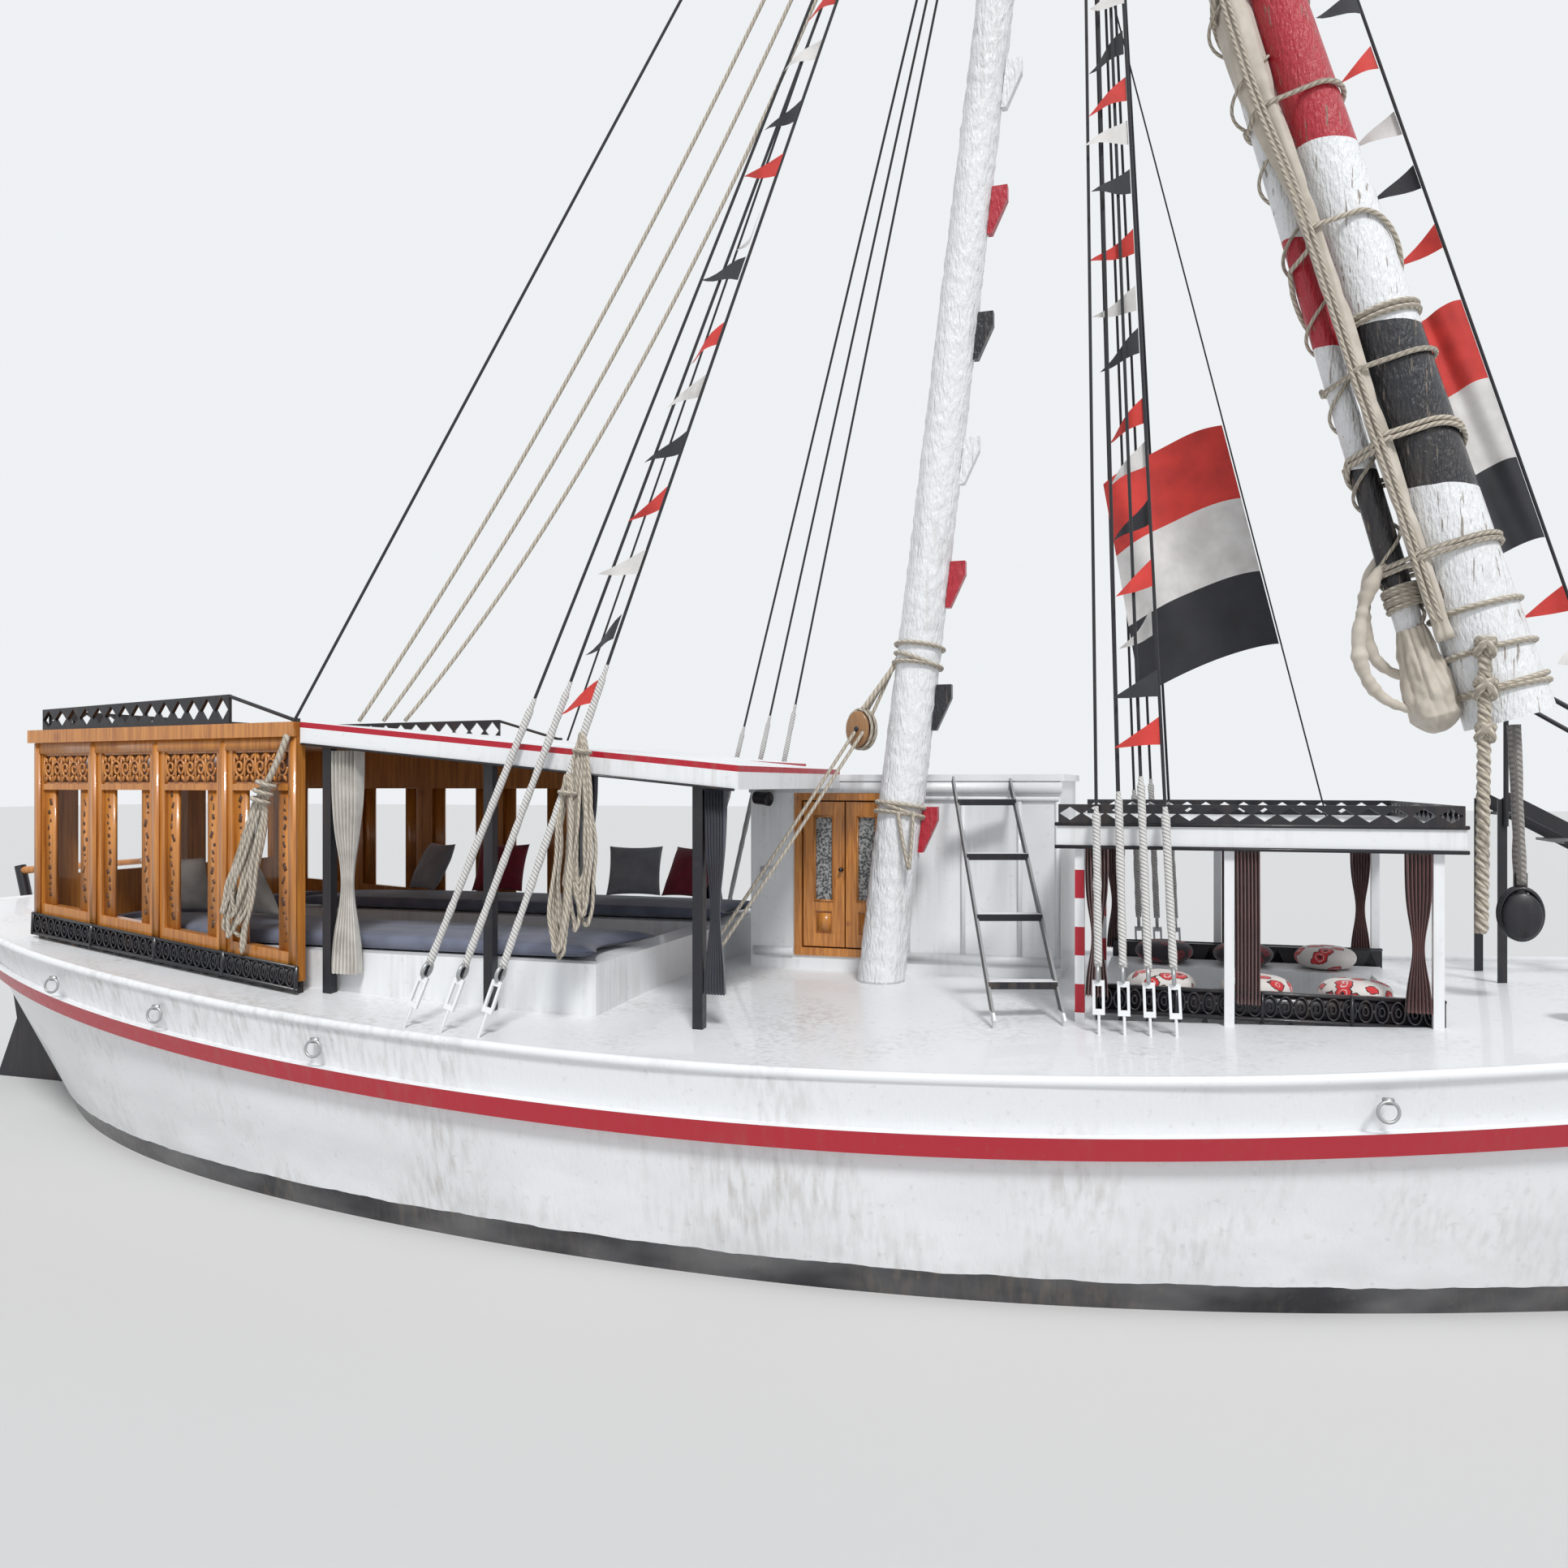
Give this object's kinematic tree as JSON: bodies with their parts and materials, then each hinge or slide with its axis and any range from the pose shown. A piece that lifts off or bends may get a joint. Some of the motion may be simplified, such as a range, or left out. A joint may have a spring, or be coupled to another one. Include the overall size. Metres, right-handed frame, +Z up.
{
  "type": "felucca sailing boat with a cabin and canopies",
  "caption": "River sailing boat afloat, with a raked mast, a long lateen yard, a carved wooden cabin, a deckhouse and a forward canopy; rudder, doors and yard move.",
  "frame": {"origin": "on the waterline, amidships, on the hull's centreline", "axes": "+X to the bow, +Y to port, +Z up"},
  "size_m": [14.795, 4.69, 19.1143],
  "materials": {
    "hull_paint": "gloss white paint",
    "red_rail": "gloss red paint with a white top",
    "boot_black": "black bottom paint",
    "varnished_wood": "orange brown varnish",
    "pebbled_glass": "pebbled",
    "black_iron": "black paint",
    "mast_paint": "rough white paint over wrapping",
    "yard_paint": "painted white, black and red bands",
    "saddle_wood": "oiled",
    "sail_canvas": "weathered canvas",
    "stay_wire": "dark wire rope",
    "galvanised": "white painted galvanised steel",
    "flag_cloth": "red, white and black bands",
    "white_curtain": "cotton",
    "dark_curtain": "cotton",
    "brown_curtain": "satin",
    "mattress_fabric": "woven cotton",
    "floral_fabric": "red, white and black print"
  },
  "bodies": {
    "hull": {"hull": "hull_paint", "deckhouse_wall_starboard": "hull_paint", "deckhouse_wall_port": "hull_paint", "deckhouse_wall_aft": "hull_paint", "deckhouse_wall_fwd": "hull_paint", "deckhouse_roof": "hull_paint", "aft_roof": "hull_paint", "canopy_roof": "hull_paint", "bollard": "hull_paint", "fwd_seats": "hull_paint", "aft_benches": "hull_paint", "canopy_posts": "hull_paint", "rub_rail": "red_rail", "keel": "boot_black", "cabin_side_starboard": "varnished_wood", "cabin_side_port": "varnished_wood", "cabin_back": "varnished_wood", "cabin_roof": "varnished_wood", "door_frame": "varnished_wood", "cabin_skirt": "black_iron", "cabin_roof_rail": "black_iron", "canopy_rail": "black_iron", "fwd_coaming": "black_iron", "aft_roof_posts": "black_iron", "bow_stair": "black_iron", "bow_stair_handrails": "black_iron", "ladder": "black_iron", "masthead": "black_iron", "mast": "mast_paint", "mast_collar": "mast_paint", "mast_steps": "mast_paint", "shrouds_aft": "stay_wire", "shrouds_fwd": "stay_wire", "forestay": "stay_wire", "backstays": "stay_wire", "flag_halyard": "stay_wire", "turnbuckles": "galvanised", "rudder_gudgeons": "galvanised", "flag_port": "flag_cloth", "flag_bow": "flag_cloth", "curtain_white": "white_curtain", "curtains_dark": "dark_curtain", "curtains_brown": "brown_curtain", "aft_mattresses": "mattress_fabric", "fwd_cushions": "floral_fabric"},
    "rudder": {"rudder": "boot_black", "tiller": "varnished_wood"},
    "yard": {"yard": "yard_paint", "yard_saddle": "saddle_wood", "boom": "yard_paint", "sail_roll": "sail_canvas", "sail_bag": "sail_canvas"},
    "door_aft": {"door_leaf_aft": "varnished_wood", "door_glass_aft": "pebbled_glass"},
    "door_fwd": {"door_leaf_fwd": "varnished_wood", "door_glass_fwd": "pebbled_glass"}
  },
  "joints": [
    {"name": "rudder_turn", "type": "hinge", "parent": "hull", "child": "rudder", "pos_m": [-6.745, 0, 0], "axis": [-0.2696, 0, 0.963], "range_deg": [-35, 35]},
    {"name": "yard_swing", "type": "hinge", "parent": "hull", "child": "yard", "pos_m": [1.44672, 0, 10.73628], "axis": [0.1182, 0, 0.993], "range_deg": [-12, 4]},
    {"name": "door_aft_swing", "type": "hinge", "parent": "hull", "child": "door_aft", "pos_m": [-0.34, 0.4033, 1.8], "axis": [0, 0, 1], "range_deg": [0, 95]},
    {"name": "door_fwd_swing", "type": "hinge", "parent": "hull", "child": "door_fwd", "pos_m": [0.28, 0.4033, 1.8], "axis": [0, 0, 1], "range_deg": [-95, 0]}
  ]
}
